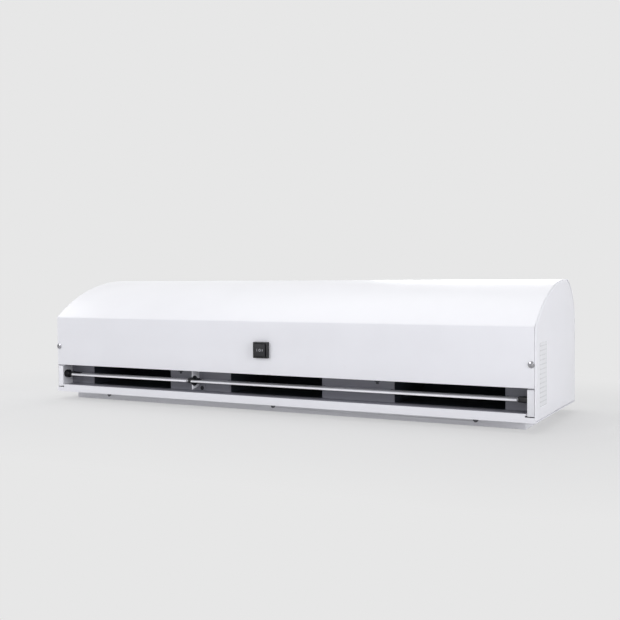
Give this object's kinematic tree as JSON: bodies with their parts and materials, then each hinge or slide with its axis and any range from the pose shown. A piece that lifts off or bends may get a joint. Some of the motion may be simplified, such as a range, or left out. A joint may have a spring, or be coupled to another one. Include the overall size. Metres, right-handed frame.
{
  "type": "air curtain",
  "caption": "Long white sheet-metal air curtain with a curved hood, a recessed air outlet with a pivoting louvre blade, a front rocker switch and blowers inside.",
  "frame": {"origin": "centre of the footprint's bounding box, on the wall plate's outer face that the unit lies on", "axes": "+X along the casing, to the right seen from the outlet side; -Y is the side the air leaves by, with the front panel and switch; +Z away from the wall plate, towards the hood"},
  "size_m": [0.9, 0.2644, 0.218],
  "materials": {
    "white_paint": "satin white powder coat",
    "grey_paint": "satin light grey coat, in the casing's shade",
    "zinc_plate": "zinc-plated sheet",
    "steel": "bright zinc-plated steel",
    "dark_steel": "blackened steel",
    "black_paint": "matt black coat",
    "motor_alu": "cast and drawn aluminium",
    "laminations": "varnished iron laminations",
    "ivory_plastic": "moulded ivory plastic",
    "black_rubber": "black rubber",
    "black_plastic": "moulded black plastic",
    "rocker_plastic": "satin black plastic with grey marks",
    "white_aluminium": "white-coated aluminium extrusion"
  },
  "bodies": {
    "casing": {"back_panel": "white_paint", "left_side_panel": "white_paint", "right_side_panel": "white_paint", "front_cover": "white_paint", "intake_grille": "white_paint", "rear_panel": "white_paint", "mid_bracket": "white_paint", "outlet_deck": "grey_paint", "wall_plate": "zinc_plate", "motor_cradles": "zinc_plate", "motor_straps": "zinc_plate", "plate_screws": "steel", "cover_screws": "steel", "hood_screws": "steel", "rear_screws": "steel", "motor_bearings": "steel", "deck_bolts": "dark_steel", "scroll_screws": "dark_steel", "motor_bolts": "dark_steel", "bracket_screw": "dark_steel", "scroll_left": "black_paint", "scroll_mid": "black_paint", "scroll_right": "black_paint", "inlet_rings": "black_paint", "motor_can_a": "motor_alu", "motor_can_b": "motor_alu", "motor_ends_a": "motor_alu", "motor_ends_b": "motor_alu", "stator_a": "laminations", "stator_b": "laminations", "capacitors": "ivory_plastic", "terminal_block": "ivory_plastic", "harness_clips": "ivory_plastic", "cable_grommet": "black_rubber", "wire_harness": "black_rubber", "switch_body": "black_plastic", "pivot_bushes": "black_plastic"},
    "rotor_a": {"shaft_a": "steel", "impeller_left": "zinc_plate", "impeller_mid": "zinc_plate", "hub_grubs_a": "dark_steel", "rotor_core_a": "laminations"},
    "rotor_b": {"shaft_b": "steel", "impeller_right": "zinc_plate", "hub_grubs_b": "dark_steel", "rotor_core_b": "laminations"},
    "rocker": {"switch_rocker": "rocker_plastic"},
    "louvre": {"louvre_left": "white_aluminium", "louvre_right": "white_aluminium", "louvre_clips": "black_plastic"}
  },
  "joints": [
    {"name": "rotor_a_spin", "type": "hinge", "parent": "casing", "child": "rotor_a", "pos_m": [-0.153, 0.00405, 0.1155], "axis": [1, 0, 0], "continuous": true},
    {"name": "rotor_b_spin", "type": "hinge", "parent": "casing", "child": "rotor_b", "pos_m": [0.153, 0.00405, 0.1155], "axis": [1, 0, 0], "continuous": true},
    {"name": "rocker_tip", "type": "hinge", "parent": "casing", "child": "rocker", "pos_m": [-0.002, -0.12545, 0.1055], "axis": [0, 0, 1], "range_deg": [-11, 11]},
    {"name": "louvre_tilt", "type": "hinge", "parent": "casing", "child": "louvre", "pos_m": [0, -0.09995, 0.045], "axis": [1, 0, 0], "range_deg": [-40, 40]}
  ]
}
